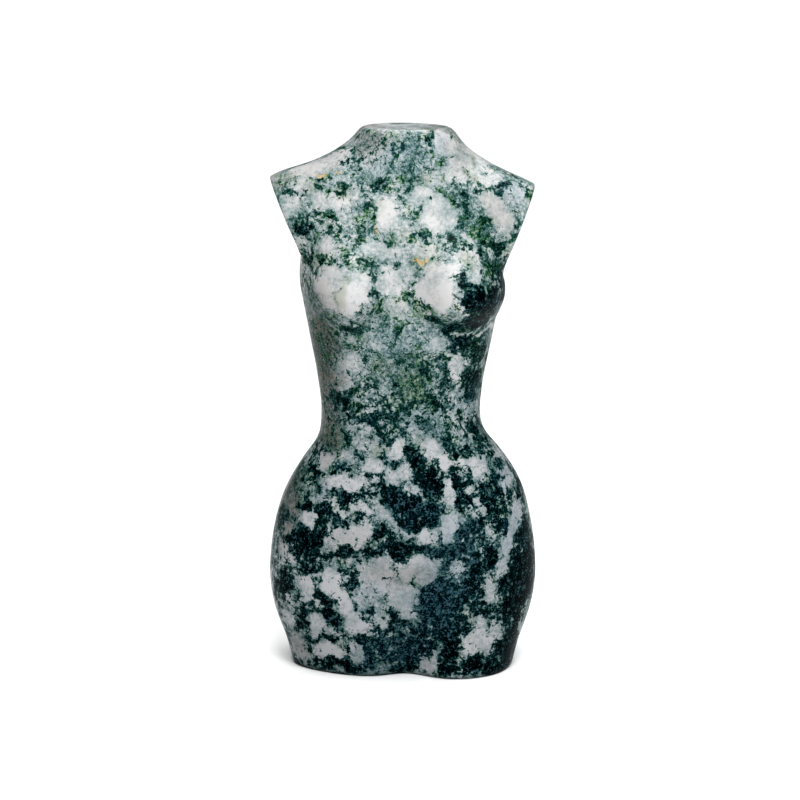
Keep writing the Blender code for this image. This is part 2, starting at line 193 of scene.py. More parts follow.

# %% [markdown]
# ## How the stone grew
#
# Moss agate is pale quartz that set round threads of green mineral. Noise alone gives an even
# speckle, but a real block has its own broad map: a white breast, a dark hip. So the map comes
# first, as ovals laid on the front of the figure, each in millimetres: across, up, half its width,
# half its height, its turn in degrees and its strength. An oval is a little deeper than it is wide,
# because the colour goes into the stone. Noise in the material will break up every edge later.

# %% Where the pale stone lies, and one painted highlight
PALE_AND_HIGHLIGHT = (
    (-0.7, 80, 0.9, 0.6, 0, 0.6), (5.4, 78.5, 1, 2, 0, 0.8), (7.6, 76.7, 1.7, 2.6, -20, 0.9),
    (9.6, 74.5, 2.3, 1.3, -35, 0.9), (12.2, 72.8, 1.7, 1.1, 0, 0.7), (-13.3, 74.1, 3.5, 1, 20, 0.9),
    (-18.3, 73.2, 1.2, 0.9, 0, 0.8), (-14.7, 71.9, 1.6, 1, 0, 0.8), (-16, 69.3, 1.7, 1.3, 0, 0.8),
    (-11.1, 69.7, 3.1, 1, -5, 0.8), (-6.7, 71.3, 0.7, 1.3, 0, 0.5), (-2.1, 68.6, 1.3, 2, 0, 1),
    (3, 70.9, 1.6, 1, 10, 1), (5.3, 68.3, 2.4, 2.6, 0, 1.1), (0.7, 69.3, 1.4, 1.1, 0, 0.7),
    (0.2, 66.1, 1.9, 1, 0, 0.7), (13.9, 67.8, 1.7, 2.9, 30, 1.1), (16.1, 70.9, 1.4, 1.2, 0, 0.8),
    (12.4, 70, 1.7, 1.1, -20, 0.8), (4.6, 73, 1.7, 0.9, 0, 0.6), (7.4, 74.3, 2, 1, 0, 0.8),
    (-0.4, 80, 6.7, 0.6, 0, 0.6), (-7.3, 78.3, 2, 0.6, 42, 0.4), (-12.2, 74.7, 4.9, 0.6, 22, 0.8),
    (10.8, 75.6, 4.3, 0.6, -32, 0.8), (-11.1, 63.5, 1.1, 0.9, 0, 0.7), (-2.5, 62.8, 3.4, 1.1, -5, 0.9),
    (2.4, 63, 1.7, 1.1, 0, 0.7), (8.9, 64.9, 0.6, 0.7, 0, 0.6), (6.7, 67.1, 1.1, 0.6, 0, 0.4),
    (12.2, 63.5, 0.7, 0.7, 0, 0.5), (9.8, 62.2, 1.3, 0.7, 0, 0.6), (-7.2, 61.8, 1, 0.6, 0, 0.5),
    (-10.6, 57.7, 2.4, 3.1, 0, 1.1), (-7.8, 56.6, 2.3, 2.4, 0, 1.1), (-5.8, 58.9, 1.7, 1.3, -20, 1),
    (-8.2, 60, 2, 1.4, 0, 0.8), (-1.4, 58.2, 1.6, 2.4, 0, 0.8), (0.6, 59.7, 1, 1.7, -15, 0.8),
    (-0.7, 54.9, 2, 1.4, 0, 0.6), (4.8, 58.5, 2.8, 2.4, 0, 1.4), (6, 56.2, 1.4, 2.1, 5, 1.4),
    (5.3, 60.4, 2.6, 0.9, 0, 1), (9.2, 57.4, 1.3, 0.4, -12, 0.3), (10.4, 59.8, 0.7, 1.4, 10, 0.8),
    (13.7, 59.1, 0.4, 0.7, 0, 0.3), (9, 54.7, 0.9, 0.6, 30, 0.2), (3.9, 52.5, 1.1, 0.6, 0, 0.4),
    # The three thin ovals just over 50 mm up, under the right breast, paint a highlight along the lower
    # lip of its fold.
    (9.5, 50.8, 1, 0.2, 30, 1.6), (12, 51.1, 1.4, 0.2, 38, 1.6), (7.8, 50.8, 0.7, 0.2, -35, 1.4),
    (5.3, 49.9, 1.7, 0.9, 0, 0.7), (-7.3, 46.8, 2, 1.4, 0, 0.5), (-8.3, 43.8, 1.7, 1.4, 0, 0.5),
    (7.5, 45.2, 0.6, 2.9, 8, 0.6), (-4.4, 49.5, 1.4, 0.9, 0, 0.4), (6.5, 48.3, 1.1, 0.6, 20, 0.4),
    (-6, 36.6, 1, 1.2, 30, 0.8), (9.8, 39.4, 1.3, 0.9, 0, 0.3), (-11.3, 31.7, 1.2, 1.5, 20, 1),
    (-8.2, 33.1, 1, 0.9, 0, 0.8), (-7.9, 29.1, 2.9, 1.3, 5, 1), (-4.4, 31.6, 1.6, 1.9, 0, 1.1),
    (-1, 33.7, 1.7, 1.2, 10, 1), (-5.3, 34.4, 1.2, 1, 0, 0.8), (0, 31.2, 1, 1.2, 0, 0.9),
    (1.6, 36.5, 1, 1.6, 10, 0.6), (3.9, 34.2, 1.2, 1.7, 15, 1), (5.7, 32.6, 1.3, 0.9, -30, 0.8),
    (-1.8, 30.2, 1.4, 1.2, 20, 0.8), (-16.9, 26.5, 1.8, 3.5, 10, 0.7), (-12.3, 26.5, 1.5, 0.7, 0, 0.5),
    (-15.1, 30.5, 1.5, 2.1, -35, 0.6), (6.4, 28.4, 1, 1.9, 10, 1), (3.1, 27.6, 2.3, 0.6, 0, 0.7),
    (0.3, 28.5, 1.4, 0.6, -20, 0.6), (10.9, 31.1, 1.2, 1.9, 25, 1), (9.4, 28.2, 0.9, 0.7, 0, 0.8),
    (12.4, 29.7, 0.7, 0.9, 0, 0.7), (15.4, 29.2, 0.9, 2.1, 12, 0.8), (11.5, 25, 1.3, 1.3, 0, 0.8),
    (14.3, 32, 1.3, 1.5, 0, 0.5), (8.3, 31.3, 0.9, 1.2, 0, 0.6), (-13.1, 23.7, 1, 0.9, 0, 0.9),
    (-9.2, 24.9, 0.7, 1, 0, 0.9), (-7.3, 22, 2.2, 1.2, 15, 1), (-10.6, 21.8, 0.9, 1, 0, 0.9),
    (-6.5, 25.8, 2.3, 0.6, -35, 0.9), (-2.6, 25.1, 2, 0.6, -45, 0.9), (-5, 23.3, 0.9, 1.3, 0, 0.8),
    (-16.8, 21.4, 1, 0.9, 0, 0.8), (-17.1, 18, 0.6, 1.9, 35, 0.8), (-10.6, 19.5, 1.3, 0.7, 0, 0.6),
    (-8.4, 17.9, 2, 0.9, 0, 0.7), (-10.7, 14.6, 1.3, 2.2, 30, 1.2), (-8.8, 12, 1.3, 2.5, 30, 1.2),
    (-6.7, 8.8, 1.3, 1.9, 30, 1.2), (-14.1, 13.9, 1, 2.1, 35, 1), (-12.8, 11.2, 1.5, 0.7, -10, 0.8),
    (-3.9, 16.6, 2.5, 1.7, 0, 1.1), (2.8, 16.3, 3.2, 1.9, 20, 1), (0.3, 13.1, 2.3, 2, 0, 1.1),
    (0.6, 10.2, 1, 1.3, 0, 1), (-4.9, 12.1, 1.6, 2.6, 0, 0.6), (-2.7, 8.8, 1.2, 1.2, 0, 0.8),
    (-2.1, 14.5, 2, 1, 0, 0.8), (-1.6, 18.3, 1.5, 0.7, -30, 0.6), (-4.5, 7.3, 1.2, 0.7, 0, 0.6),
    (-12.6, 7.8, 1, 1.6, 0, 1), (-10.7, 4.2, 2.5, 1.2, 0, 1.2), (-15.3, 3.7, 1.3, 2.1, 10, 1.1),
    (-9.9, 6.9, 1.3, 0.6, -10, 0.8), (-16.9, 10.9, 1, 1.6, 0, 0.8), (-16.6, 7.3, 1.2, 1, 0, 0.8),
    (-6.8, 4.3, 1, 1.6, 0, 0.8), (-2.9, 21.3, 0.9, 0.6, 0, 0.4), (6.7, 22.9, 1.2, 2, -20, 1),
    (3.6, 21.7, 1.2, 1.2, 20, 0.9), (0.9, 21.9, 1.7, 0.6, -15, 0.8), (-1, 23.2, 1.2, 0.7, -30, 0.6),
    (8, 17.1, 0.9, 1, 0, 0.8), (11.4, 18.7, 0.4, 1.2, -20, 0.8), (16.9, 23.7, 0.9, 2.1, -18, 0.9),
    (15.5, 20.3, 0.7, 2.5, -18, 1), (14.6, 16.9, 0.9, 1.9, 0, 0.9), (12.4, 21.9, 1.2, 0.4, -30, 0.6),
    (9.5, 19.8, 2, 1.2, 0, 0.2), (12.9, 12.9, 1.2, 1.6, 0, 0.6), (11, 5.7, 2.5, 1.9, 10, 1),
    (11.6, 8.5, 0.7, 1.9, 0, 0.8), (9.2, 10.2, 0.6, 0.9, 0, 0.6), (13.4, 7, 0.7, 1.5, 0, 0.7),
    (3.7, 2.3, 1.8, 1.3, -20, 0.7), (8.1, 4.8, 0.6, 1.2, 0, 0.5), (17.5, 9, 0.4, 1.3, 0, 0.5),
    (-1.1, 1.8, 1.8, 0.7, 0, 0.3),
)
print("pale ovals:", len(PALE_AND_HIGHLIGHT))

# %% Where the moss lies
MOSSY = (
    (1.2, 80, 0.7, 0.6, 0, 0.6), (3.9, 78.6, 0.5, 2, 0, 0.75), (-1.5, 77.5, 0.6, 1.1, 20, 0.7),
    (-1.4, 75.5, 0.6, 0.9, 0, 0.6), (0.7, 77.6, 0.9, 0.6, 20, 0.7), (-7.1, 76.5, 0.6, 0.9, 0, 0.8),
    (-7.3, 77.5, 1.4, 0.4, 38, 0.4), (-2.1, 80, 0.9, 0.6, 0, 0.4), (-16.5, 73, 1.3, 0.6, 20, 0.5),
    (-16.7, 70.8, 1, 0.4, 0, 0.4), (-11.8, 72.3, 1, 0.9, 0, 0.9), (-8.2, 71.1, 1.3, 1.3, 0, 1),
    (-13.1, 71.6, 0.6, 1, 0, 0.6), (-10.2, 71.5, 1, 0.7, 0, 0.7), (-2.7, 72.2, 1.6, 1.3, 0, 1),
    (-4.7, 69.4, 1.1, 1.1, 0, 1), (-5.8, 71.6, 0.4, 1.4, 0, 0.8), (-3.5, 74.1, 0.9, 0.7, 0, 0.4),
    (2.6, 69.1, 0.6, 0.6, 0, 0.9), (2.2, 67.2, 0.4, 1.4, 0, 0.9), (3, 65.1, 1.1, 0.6, 0, 0.9),
    (5.1, 65.2, 0.7, 0.6, 0, 0.9), (6.7, 65.3, 0.9, 0.6, 0, 1), (0.7, 64.4, 1.3, 0.3, 0, 0.7),
    (-2.8, 64.9, 0.6, 0.9, 0, 0.5), (7.6, 69.3, 0.7, 0.7, 0, 1), (9.3, 68.5, 0.9, 1, 0, 0.9),
    (8.1, 66.7, 1.1, 0.7, -10, 1), (10.6, 66.7, 1.1, 1, 0, 1), (11.9, 64.9, 1.3, 1.1, -35, 1),
    (13.5, 62.8, 1.1, 1.6, 0, 1), (14.4, 60.6, 0.7, 1.3, 0, 1), (9.6, 63.6, 0.4, 1.7, 0, 1),
    (11.4, 62.5, 1.1, 0.7, -20, 1), (12, 60.9, 1, 1.1, 0, 0.9), (7.1, 72.5, 0.4, 1.1, 30, 0.7),
    (8.4, 70.9, 1.1, 0.4, -40, 0.7), (14.2, 71.8, 1, 0.9, 0, 1.1), (12.2, 70.9, 0.7, 0.4, 20, 0.5),
    (16.9, 72.1, 2.3, 0.4, -28, 0.8), (18.3, 70, 0.4, 1, 0, 0.5), (16.4, 66.8, 0.4, 1.4, 0, 0.6),
    (3.6, 74.8, 0.4, 0.4, 0, 0.8), (12.5, 67, 0.3, 0.7, 30, 1.1), (14.9, 69.2, 1.3, 0.3, -50, 0.9),
    (-14, 65.8, 1, 0.9, 0, 1.3), (-15.9, 67.5, 1.3, 0.6, -20, 0.4), (-14.7, 66.8, 0.9, 0.7, 0, 0.7),
    (-5.8, 66, 0.7, 2, 0, 0.9), (-11.5, 67.9, 2, 0.6, 0, 0.5), (-12.1, 64.9, 0.9, 0.7, 0, 0.6),
    (-13.6, 61.4, 1.2, 1.4, 0, 1), (-11.1, 61.4, 2, 0.7, 0, 0.9), (-8.2, 63.2, 1.1, 0.6, 25, 0.8),
    (-4.5, 65.2, 0.9, 0.9, 0, 0.4), (-7.5, 61.2, 1, 0.7, 0, 0.5), (-4.9, 61.4, 1.3, 0.9, -45, 0.9),
    (-3.8, 59.7, 0.7, 1.1, 0, 0.8), (-4.1, 57.4, 1.1, 1.4, 0, 1), (-3.4, 55.8, 0.7, 1.1, 0, 1),
    (-5.4, 54.5, 1.1, 0.9, 0, 0.8), (-5.2, 57.9, 0.9, 0.7, 0, 0.7), (1.6, 58, 0.4, 2.7, -12, 0.7),
    (3.7, 55.7, 1.3, 0.9, 0, 0.9), (4.7, 53.7, 1.1, 0.9, 0, 0.7), (0.2, 56.5, 0.4, 0.6, 0, 0.7),
    (-14.5, 54.9, 0.6, 4.4, 0, 0.7), (13, 55.5, 1.9, 2.9, 0, 1.5), (14.6, 56.8, 1.2, 2.9, 0, 1.4),
    (11.3, 55.8, 2.6, 1.9, 0, 1.6), (9.1, 56.6, 1.3, 1.8, 0, 1.7), (8.5, 58.8, 0.7, 1.1, 0, 1.3),
    (10.7, 58.1, 2.3, 0.6, -20, 1.2), (13.5, 60.5, 0.9, 1.4, 0, 0.9), (12, 59, 0.9, 0.9, 0, 0.8),
    (10.6, 52.8, 3.2, 1.7, 0, 1.4), (6.8, 51.7, 1.7, 1.1, 0, 1.1), (8.5, 49.8, 2.3, 1.4, 0, 1.1),
    (5.3, 53.4, 0.9, 0.7, 0, 0.7), (-11.3, 53.1, 1.1, 0.6, 0, 0.8), (-9.2, 53.7, 1.4, 0.4, 0, 0.5),
    (10.2, 75.1, 0.3, 0.7, 35, 1.3), (8, 76.9, 0.2, 0.6, 20, 1), (10, 73, 1.3, 0.3, -40, 1.2),
    (14, 74, 1.3, 0.3, -25, 1), (4, 70.5, 0.2, 0.7, 15, 1.1), (-1.1, 69.1, 0.3, 0.7, 20, 1.4),
    (-14.7, 71.2, 0.6, 0.2, 0, 1.3), (-14.3, 70.4, 0.3, 0.3, 0, 1.3),
    (-10.8, 66.5, 1.3, 0.2, -15, 1.1), (-10.2, 67.7, 0.6, 0.3, -20, 1.2),
    (-12.3, 68.3, 0.7, 0.2, -10, 1.1), (-9.2, 76.5, 0.3, 0.4, 0, 1.2),
    (-8.7, 75.2, 0.7, 0.4, -10, 1.2), (-12.9, 30.5, 1.6, 0.3, -45, 1.4),
    (-5.9, 31.4, 0.3, 1.4, 10, 1.4), (-4.7, 29.7, 1, 0.3, -30, 1.3), (-3, 32.8, 0.6, 0.3, -35, 1.2),
    (-7.8, 25.7, 2.5, 0.3, -43, 1.4), (-7.8, 27, 0.9, 0.3, -40, 1.1), (-12, 25.5, 2.2, 0.3, 12, 1.2),
    (-9.2, 57.7, 0.7, 0.3, 30, 1.4), (-9.5, 56.3, 0.3, 0.7, 10, 1.5), (-8, 59.5, 0.9, 0.2, -40, 1.4),
    (-10.5, 59.3, 0.2, 0.6, 10, 1.2), (-13, 57.5, 0.3, 0.9, 0, 1.1), (-10, 52.8, 0.4, 0.3, 20, 1),
    (-6.8, 51.2, 1.4, 1, 0, 0.8), (-7.6, 49, 1.2, 0.7, 0, 0.7), (-5, 51.2, 1.1, 0.9, 0, 0.6),
    (-1, 51.3, 0.7, 0.7, 0, 0.6), (-2.7, 52.2, 0.9, 0.6, 0, 0.5), (2.5, 51.7, 0.9, 0.7, 0, 0.5),
    (-5.4, 47.3, 0.6, 0.6, 0, 0.6), (10.4, 47.9, 2, 2, 0, 0.9), (9.8, 42.9, 2, 2.6, 0, 1),
    (12.1, 45.2, 0.7, 2, 0, 0.8), (6.4, 46.4, 0.7, 1.4, 0, 0.7), (6.4, 42.9, 0.9, 1.7, 0, 0.8),
    (3.2, 45.5, 2, 0.9, -20, 0.6), (-0.4, 47.3, 2.3, 0.7, -25, 0.6), (-7, 43.2, 0.6, 0.9, 0, 0.7),
    (-9.1, 40.7, 1.7, 1.2, 0, 0.85), (-5.9, 39.7, 2, 1.2, 0, 0.75), (-5.7, 38.2, 1.2, 0.9, 0, 1.1),
    (-2.1, 39.1, 2, 1.6, 0, 0.85), (-3.6, 37.6, 2, 1.2, 0, 0.75), (-1.1, 37, 1.4, 1, 0, 0.65),
    (6.1, 40.4, 1.4, 1.2, 0, 0.65), (8.7, 41.6, 1.2, 0.9, 0, 0.7), (-1.3, 43.6, 0.6, 1.2, 0, 0.7),
    (-3.7, 43.5, 0.9, 0.9, 0, 0.5), (-8.5, 36.8, 1.2, 1.3, 0, 0.6), (9.8, 36.5, 1.2, 1.2, 0, 0.6),
    (0.3, 39.9, 1, 1.2, 0, 0.6), (3.2, 42, 1.7, 1.2, 0, 0.4), (-8.7, 31.2, 1, 0.7, -10, 1),
    (-6.8, 33, 0.7, 0.9, 0, 0.9), (-5.9, 31.4, 0.4, 1.7, 10, 0.8), (-1.4, 32, 0.7, 0.9, 0, 1),
    (-2.1, 35.2, 1.3, 0.7, 0, 0.8), (-5.9, 27.7, 1.4, 1.4, 0, 1.2), (-8.4, 26.6, 1.7, 0.6, -30, 0.9),
    (-9.8, 28.1, 0.6, 1, 0, 0.7), (-3.9, 29.3, 1.2, 0.6, -10, 0.9), (1.9, 32.7, 1.2, 1.4, 0, 1.1),
    (3.9, 29.3, 2.3, 1.3, 0, 1.2), (2.5, 30.7, 1.2, 1.2, 0, 1), (4.8, 28.4, 1.7, 0.9, 0, 1.2),
    (5.4, 31.5, 0.7, 1, 0, 0.9), (1, 33.8, 0.9, 0.7, 0, 0.8), (2.8, 33.8, 0.9, 0.7, 0, 0.8),
    (0.8, 25.9, 3.8, 2.3, 0, 1.3), (3.9, 24.5, 2.3, 1.9, 0, 1.3), (-1.1, 27.8, 1.7, 1.3, 0, 1.1),
    (8.4, 28.3, 1.2, 3.5, 0, 1.1), (9, 33.5, 1.3, 1.2, 0, 0.9), (9.5, 30.4, 1.2, 1.2, 0, 0.9),
    (13.6, 29.3, 1.2, 1.3, 0, 1), (12.1, 26.5, 1, 1.6, 0, 1.1), (7.1, 35.2, 1.2, 1.4, 0, 0.6),
    (11, 34.7, 0.9, 1.8, 0, 0.7), (14.2, 30.9, 1, 0.7, 0, 0.7), (14.9, 26.1, 1, 2, 0, 0.7),
    (17.3, 27.4, 0.7, 2.7, 0, 0.7), (10, 25.6, 0.9, 1.5, 0, 0.7), (13.9, 24.6, 0.9, 1.5, 0, 0.8),
    (14.4, 32.5, 0.9, 0.7, 0, 0.5), (-11.3, 25.3, 2.2, 1.3, 0, 1), (-14.2, 25.5, 1.8, 0.9, 0, 0.8),
    (-15, 20.3, 2.6, 2.3, 0, 1.2), (-12, 21.8, 0.9, 2, 0, 0.8), (-9.1, 23.2, 1.3, 0.6, 0, 0.8),
    (-3.6, 22.4, 1.3, 1.2, 0, 0.9), (-17.3, 23.3, 1.3, 1.3, 0, 0.9), (-7.6, 19.4, 2.6, 0.7, 0, 0.9),
    (-4, 19.5, 2, 0.7, 0, 0.9), (-5, 20.5, 1.7, 0.7, 0, 0.7), (-12, 18.4, 1.7, 0.6, 0, 0.7),
    (-13.5, 16.4, 1.8, 0.9, 0, 0.8), (-17.6, 13, 1.5, 2.7, 0, 1), (-11.8, 12.1, 0.9, 2.2, 35, 0.9),
    (-9.1, 15.7, 0.6, 0.9, 0, 0.6), (-7.4, 14.3, 0.5, 2.6, 6, 0.9), (-14.3, 10.7, 1.5, 1.8, 0, 0.9),
    (-9.9, 9, 2.1, 1.2, -20, 1.1), (-8.3, 7.4, 1.5, 0.9, 0, 1), (-14.8, 8.2, 1.5, 1.2, 0, 0.8),
    (-11.4, 6, 1.2, 0.6, 0, 0.8), (-13.9, 5, 0.7, 1.8, 0, 0.9), (-10.7, 2.3, 3.3, 0.9, 0, 1),
    (-8.5, 1.2, 3.5, 0.9, 0, 0.9), (-4.8, 5.2, 1.8, 1.8, 0, 0.7), (-3.3, 2.8, 2.6, 1.2, 0, 0.7),
    (-2.6, 6, 1.8, 1.8, 0, 0.7), (-4.8, 10.2, 0.7, 1, 0, 0.6), (-4.5, 13.6, 0.7, 0.7, 0, 0.4),
    (-1.4, 10.6, 0.9, 1, 0, 0.5), (-1, 19.6, 2.2, 1.2, -10, 1.3), (3.9, 19.5, 2, 0.9, 0, 1),
    (2.2, 23, 2, 0.9, -10, 1.1), (8.3, 21.8, 1.7, 1.7, 0, 0.9), (9.8, 17.9, 1.7, 2.6, 0, 0.8),
    (12.7, 17.7, 1.2, 3.5, -10, 0.9), (10.9, 23.5, 1.2, 0.7, 10, 1.3), (14.2, 22.7, 1, 2, 10, 0.7),
    (5.4, 12.1, 3.2, 3.8, -25, 1.2), (6.9, 6.8, 2, 3.2, 0, 1.3), (10.1, 13.5, 1.6, 3.5, -20, 1),
    (3.2, 6.7, 2.1, 2.9, 0, 1.1), (1.1, 4.8, 2.1, 2.1, 0, 0.9), (-0.4, 3.2, 1.8, 1.3, 0, 0.7),
    (11, 10.3, 1.5, 1.2, 0, 0.8), (7.6, 18.1, 1.5, 2.3, 0, 0.7), (17.5, 13.8, 2.1, 4.1, 0, 1.5),
    (18.3, 18, 1.2, 4.4, 0, 1.3), (16.2, 9.5, 1.5, 3, 0, 1.3), (15.8, 4, 1.8, 3.6, 0, 1.3),
    (14.3, 1.4, 3, 1.2, 0, 1.1), (8.4, 1.8, 2.9, 1.2, 0, 1.1), (9.2, 7.8, 0.9, 1.2, 0, 0.9),
    (14.8, 13.7, 1.3, 0.9, 0, 0.9), (6.3, 3.1, 0.9, 1.8, 0, 0.9), (1.1, 2.1, 0.9, 0.7, 0, 0.5),
)
print("moss ovals:", len(MOSSY))

# %% Where the stone is speckled, where it is tinted, and where shade is painted down the left side
SPECKLED = (
    (-4, 77.8, 2.6, 3.4, 0, 0.9), (-0.4, 75, 3.4, 2, 0, 0.8), (-9.2, 66.2, 5.7, 3.4, 0, 0.5),
    (-2.6, 46.5, 8.6, 5.7, 0, 1), (5.4, 41.9, 6.1, 4.9, 0, 1), (0.3, 49.5, 5.7, 1.4, 0, 0.6),
    (1.8, 38.4, 7.2, 2.6, 0, 1.1), (-9.9, 34.9, 2.9, 2, 0, 1), (-15.8, 26.9, 2.3, 4.4, 0, 0.7),
    (7.6, 35.2, 3.6, 2.2, 0, 0.7), (-3.5, 52.4, 3.4, 2.6, 0, 0.6), (-12, 46.4, 2, 7.3, 0, 0.7),
)
BLUISH = (
    (-0.4, 49.5, 7.2, 2, 0, 0.6), (5.4, 12.1, 4.1, 6.4, -20, 1), (-1.1, 3.8, 5, 3.5, 0, 0.8),
    (8.3, 19.9, 3.8, 4.4, 0, 0.8), (16.1, 70.9, 2, 1.7, 0, 0.8), (5.3, 77.1, 1.4, 2.3, 0, 0.5),
    (15.4, 20.3, 1.3, 5, -18, 0.8), (-0.4, 75.8, 3.1, 2.3, 0, 0.7), (0.8, 25.6, 4.6, 2.9, 0, 0.5),
    (-4.8, 12.1, 2.3, 2.9, 0, 0.6), (9.8, 39.9, 2.6, 2, 0, 0.5), (2.5, 37.7, 5.8, 2, 0, 0.4),
    (-12, 27.6, 1.3, 1.3, 0, 0.6), (14.9, 29.1, 1.5, 2.3, 0, 0.5),
)
# The strong warm grey-brown ovals down the left flank, the left breast and the left foot are painted
# shade; the weak ones elsewhere are a warm tinge in the stone.
WARM_AND_SHADE = (
    (-18.3, 73.2, 1.3, 1.2, 0, 0.4), (13.9, 67.8, 2, 3.4, 30, 0.3), (4.7, 58.4, 2.8, 2.6, 0, 0.1),
    (-12, 48, 2.9, 9, 0, 1), (-10.6, 37.6, 2.3, 4.4, 0, 0.8), (-16.2, 25.7, 2.2, 5.9, 0, 0.8),
    (-15.3, 3.7, 1.3, 2.5, 0, 0.4), (-5.4, 80, 4.4, 0.7, 20, 0.5), (5.4, 79.9, 4.4, 0.7, -20, 0.5),
    (0.3, 15.6, 4.9, 1.7, 0, 0.4), (7.9, 76.7, 2.3, 3.7, -20, 0.3), (-11.3, 31.7, 1.3, 1.5, 0, 0.3),
    (-10.4, 55.5, 2.6, 1.7, 0, 0.2), (-7.6, 19.9, 3.8, 2.6, 0, 0.2), (5.3, 73.7, 2, 1.1, 0, 0.2),
    (-4.7, 78.1, 2, 2.6, 0, 0.5), (-13, 74.1, 4.9, 0.9, 20, 0.3),
)
OLIVE = (
    (10.2, 75.1, 0.4, 0.9, 35, 0.9), (10, 73, 1.4, 0.4, -40, 0.9), (8, 76.9, 0.4, 0.7, 20, 0.8),
    (-10.8, 66.5, 1.3, 0.4, -15, 0.5), (14, 74, 1.3, 0.4, -25, 0.5), (-8.5, 70.7, 1.3, 0.9, -20, 0.5),
    (-3.8, 69.5, 0.9, 1.1, 0, 0.4), (1.3, 43.1, 2, 1.7, 0, 1), (-9.3, 56.9, 0.9, 1.3, 0, 0.8),
    (-7.8, 59.4, 1, 0.7, -40, 0.8), (-0.4, 54.6, 4.3, 1.4, 0, 0.3), (-11.8, 61.6, 2, 0.9, 0, 0.5),
    (-6.1, 61.7, 1.7, 1.1, 0, 0.4), (-15, 27.4, 2.3, 3.2, 0, 0.5), (3.2, 72.9, 1.1, 0.7, 0, 0.7),
    (-3.3, 46.1, 2, 1.4, 0, 0.8), (3.9, 62.1, 1.7, 2, 0, 0.4), (-9.9, 34.5, 2.6, 1.5, 0, 0.6),
    (-16.5, 72.9, 1.4, 0.7, 20, 0.6), (-13, 71.7, 0.9, 1.1, 0, 0.6), (12.5, 67, 0.6, 0.9, 30, 0.8),
    (18.3, 69.9, 0.6, 1, 0, 0.8), (9.3, 61.6, 1.1, 0.7, 0, 0.8), (-3.1, 33.8, 0.9, 1.2, 0, 0.7),
    (9.8, 9.2, 1.3, 1.5, 0, 0.6), (0.2, 56.5, 0.4, 0.7, 0, 0.8), (10.5, 73.1, 1.3, 0.6, -30, 0.6),
    (-0.4, 64.7, 2, 0.6, 0, 0.5), (-7.3, 49.2, 1.4, 0.9, 0, 0.6), (1.8, 47.3, 2.9, 1.4, 0, 0.3),
    (2.5, 35.5, 0.6, 1.2, 0, 0.5), (1.5, 61.5, 0.7, 1.4, -15, 0.6), (-1.5, 79.2, 1.4, 0.9, 0, 0.5),
    (3.6, 79.9, 2, 0.9, 0, 0.4), (-6.1, 50.1, 2.3, 1.1, 0, 0.4), (5.3, 56.6, 0.4, 0.4, 0, 0.2),
)
OCHRE = (
    (-11.5, 73.4, 0.9, 0.4, 20, 1), (-9.2, 73.9, 0.7, 0.4, 15, 1), (-11.1, 67.4, 0.7, 0.4, 0, 0.7),
    (-3.8, 65.9, 0.4, 0.6, 0, 1), (2.7, 61.5, 0.6, 0.7, 0, 1), (-1.7, 78.8, 0.6, 0.6, 0, 0.5),
    (2.3, 43.7, 0.9, 0.7, 0, 0.4),
)
print("speckled:", len(SPECKLED), "tinted:", len(BLUISH) + len(WARM_AND_SHADE) + len(OLIVE) + len(OCHRE))

# %% [markdown]
# Ovals alone would look like buttons. Stone flows while it sets, so before an oval is measured every
# point of the skin is moved a little by a swirling noise, and the ovals come out bent and frayed.
# Each oval is centred on the skin with a ray from the front, as if it were pressed on with a thumb.
# Vector noise starts from the clock unless it gets a seed, and a stone should come out the same
# every time, so it gets one. A swirl is a size and a reach.

# %% Swirl the points and lay the ovals on the skin
SWIRLS = ((3.2, 1.1), (1.3, 0.6))
SWIRL_SEED = 44
EXTRA_DEPTH = 1.5
RAY_START = -0.05
skin = BVHTree.FromPolygons([Vector(p) for p in points], [tuple(p.vertices) for p in fine.polygons])


def swirl(spots):
    """Where the flow of the stone carries each spot, in millimetres."""
    carried = spots
    for size, reach in SWIRLS:
        bend = np.array([noise.noise_vector(Vector(p) / size) for p in spots])
        carried = carried + reach * bend
    return carried


noise.seed_set(SWIRL_SEED)
swirled = swirl(1000 * points)


def spread(ovals, edge=0.7):
    """How strongly the ovals mark each point of the skin: 0 outside, up to each one's strength."""
    marked = np.zeros(len(points))
    for across, up, half_wide, half_high, turn, strength in ovals:
        start = Vector((across / 1000, RAY_START, up / 1000))
        on_skin = skin.ray_cast(start, Vector((0.0, 1.0, 0.0)))[0]
        if on_skin is None:
            on_skin = skin.find_nearest(Vector((start.x, 0.0, start.z)))[0]
        x, y, z = (swirled - swirl(1000 * np.array([on_skin]))).T
        lean = math.radians(turn)
        along = (x * math.cos(lean) + z * math.sin(lean)) / half_wide
        beside = (z * math.cos(lean) - x * math.sin(lean)) / half_high
        deep = y / (max(half_wide, half_high) + EXTRA_DEPTH)
        distance = np.sqrt(along ** 2 + beside ** 2 + deep ** 2)
        inside = np.clip((1 + edge / 2 - distance) / edge, 0, 1)
        marked = np.maximum(marked, strength * inside * inside * (3 - 2 * inside))
    return marked


pale_and_highlight = spread(PALE_AND_HIGHLIGHT)
mossy = spread(MOSSY)
for name, field in (("pale_and_highlight", pale_and_highlight), ("mossy", mossy)):
    print("marked", name, round(float((field > 0.5).mean()), 2))

# %% [markdown]
# The moss also thickens downwards, from a pale neck to dark thighs, and the colours darken with it:
# partly the moss's own deeper colour, partly painted shade where the light falls off low down.
# The photograph shows the front only, so the back has no ovals: broad noise carries the same mix of
# moss and pale stone round the sides. Two colour attributes keep the whole map on the mesh. GROUND
# and the darkness table are pairs: a share of the height, and the moss or the darkness there.

# %% Add the drift from top to foot and store the map
GROUND = ((0.0, 0.44), (0.25, 0.44), (0.42, 0.42), (0.55, 0.40), (0.7, 0.27), (1.0, 0.25))
DEPTH_AND_SHADE = ((0.0, 1.0), (0.40, 0.95), (0.55, 0.75), (0.70, 0.52), (0.85, 0.38), (0.95, 0.60))
VEIN_SIZE = 6.0
BACK_STARTS = -4.0
BACK_FADE = 6.0

